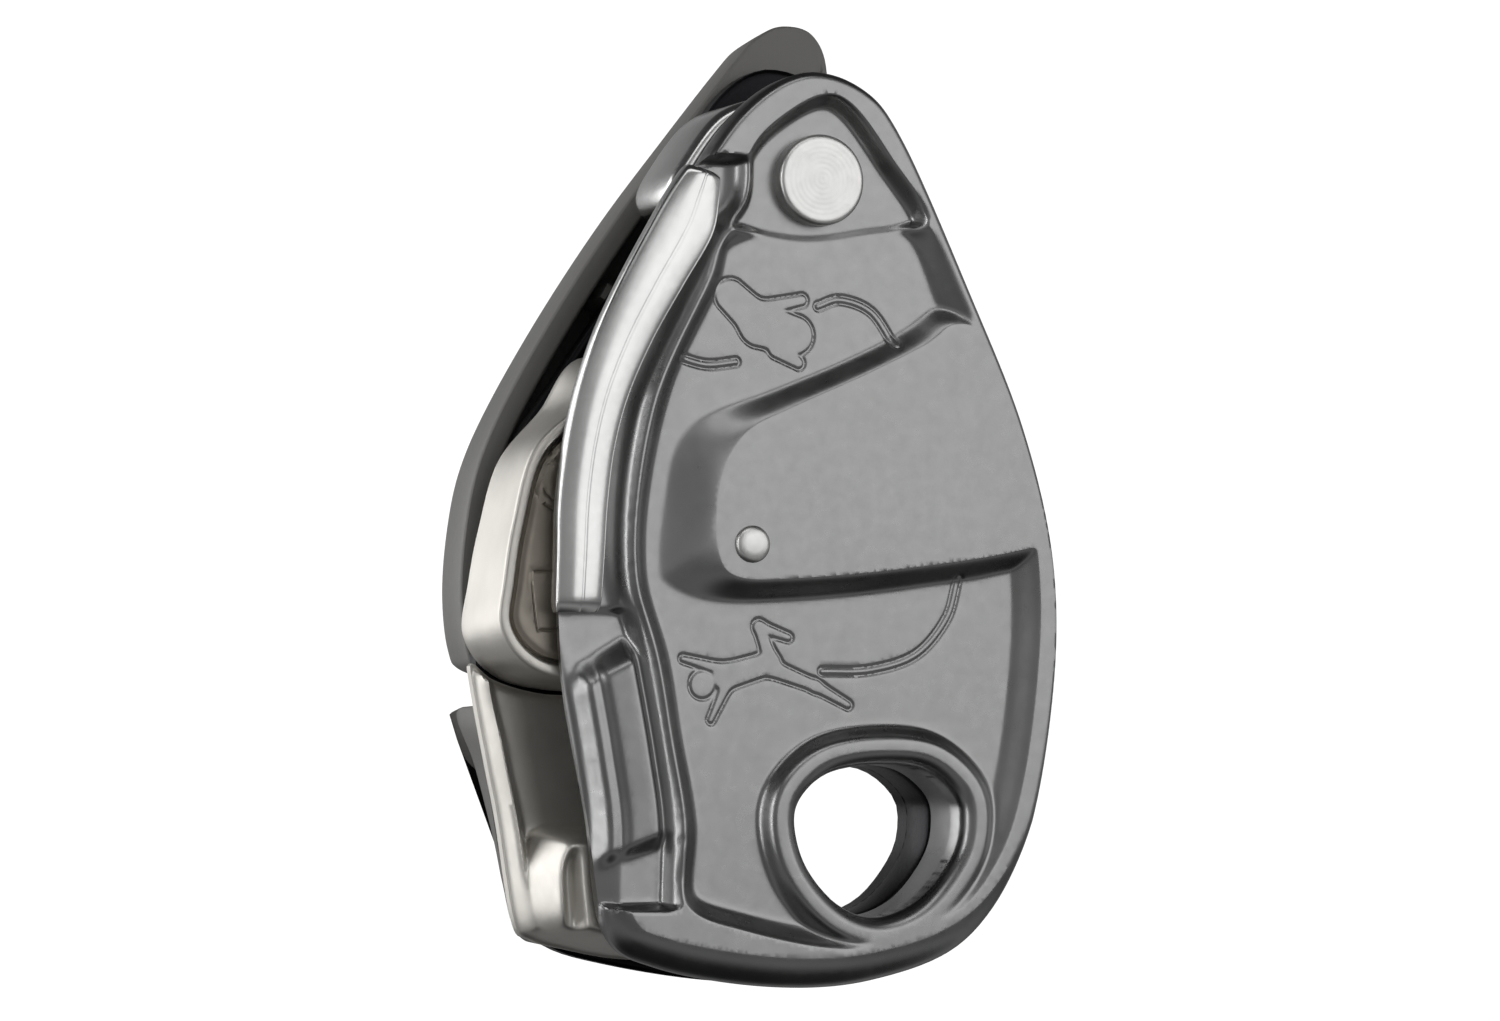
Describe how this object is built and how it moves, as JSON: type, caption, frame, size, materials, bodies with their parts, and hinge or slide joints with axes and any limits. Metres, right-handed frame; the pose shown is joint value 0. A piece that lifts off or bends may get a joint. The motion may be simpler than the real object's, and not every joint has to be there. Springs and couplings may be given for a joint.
{
  "type": "belay device",
  "caption": "Assisted-braking belay device: two side plates, a sprung cam that pinches the rope, a release handle and an eye for a carabiner.",
  "frame": {"origin": "middle of the carabiner eye, on its centre line, half way between the two side plates", "axes": "+X right as seen from the front plate, +Y from the front plate to the handle, +Z from the eye up to the pivot of the front plate"},
  "size_m": [0.0641, 0.0343, 0.1071],
  "materials": {
    "dark_alloy": "anodised, satin",
    "grey_alloy": "anodised, satin",
    "cast_steel": "sandblasted, satin",
    "polished_steel": "polished",
    "spring_steel": "drawn",
    "grey_steel": "satin",
    "black_steel": "blackened",
    "moulded_nylon": "moulded, fine grain",
    "black_nylon": "moulded",
    "taupe_insert": "blasted",
    "bronze": "turned"
  },
  "bodies": {
    "frame": {"fixed_side_plate": "dark_alloy", "friction_plate": "cast_steel", "friction_rivets": "black_steel", "pivot_spacer": "polished_steel", "pivot_washer": "spring_steel", "plate_pivot_rivet": "grey_steel", "cam_axle": "grey_steel", "axle_ring": "spring_steel", "back_cover": "moulded_nylon", "cover_screws": "black_steel", "handle_return_spring": "spring_steel"},
    "front_plate": {"moving_side_plate": "grey_alloy", "wear_lip": "polished_steel", "cam_stud": "grey_steel"},
    "cam": {"cam": "cast_steel", "cam_cover": "taupe_insert", "cam_bushing": "bronze", "cam_drive_pin": "grey_steel", "cam_return_spring": "spring_steel"},
    "handle": {"handle": "moulded_nylon", "handle_bushing": "bronze", "pawl_pin": "grey_steel", "pawl_spring": "spring_steel", "knob_clip": "spring_steel", "knob_ball": "polished_steel"},
    "pawl": {"drive_pawl": "grey_steel"},
    "knob": {"mode_knob": "black_nylon"}
  },
  "joints": [
    {"name": "plate_swing", "type": "hinge", "parent": "frame", "child": "front_plate", "pos_m": [-0.0068, 0, 0.0712], "axis": [0, -1, 0], "range_deg": [0, 115]},
    {"name": "cam_pivot", "type": "hinge", "parent": "frame", "child": "cam", "pos_m": [-0.0151, 0, 0.0317], "axis": [0, 1, 0], "range_deg": [0, 22], "stiffness_Nm_per_rad": 0.06, "springref_deg": -34.38},
    {"name": "handle_pull", "type": "hinge", "parent": "frame", "child": "handle", "pos_m": [-0.0151, 0, 0.0317], "axis": [0, -1, 0], "range_deg": [0, 72], "stiffness_Nm_per_rad": 0.05, "springref_deg": -45.84},
    {"name": "pawl_ride", "type": "hinge", "parent": "handle", "child": "pawl", "pos_m": [-0.03144, 0, 0.02701], "axis": [0, 1, 0], "range_deg": [0, 34]},
    {"name": "mode_turn", "type": "hinge", "parent": "handle", "child": "knob", "pos_m": [-0.0165, 0, 0.0555], "axis": [0, 1, 0], "range_deg": [0, 90]}
  ],
  "couplings": [
    {"joint": "pawl_ride", "follows": "handle_pull", "ratio": 0.4722}
  ]
}
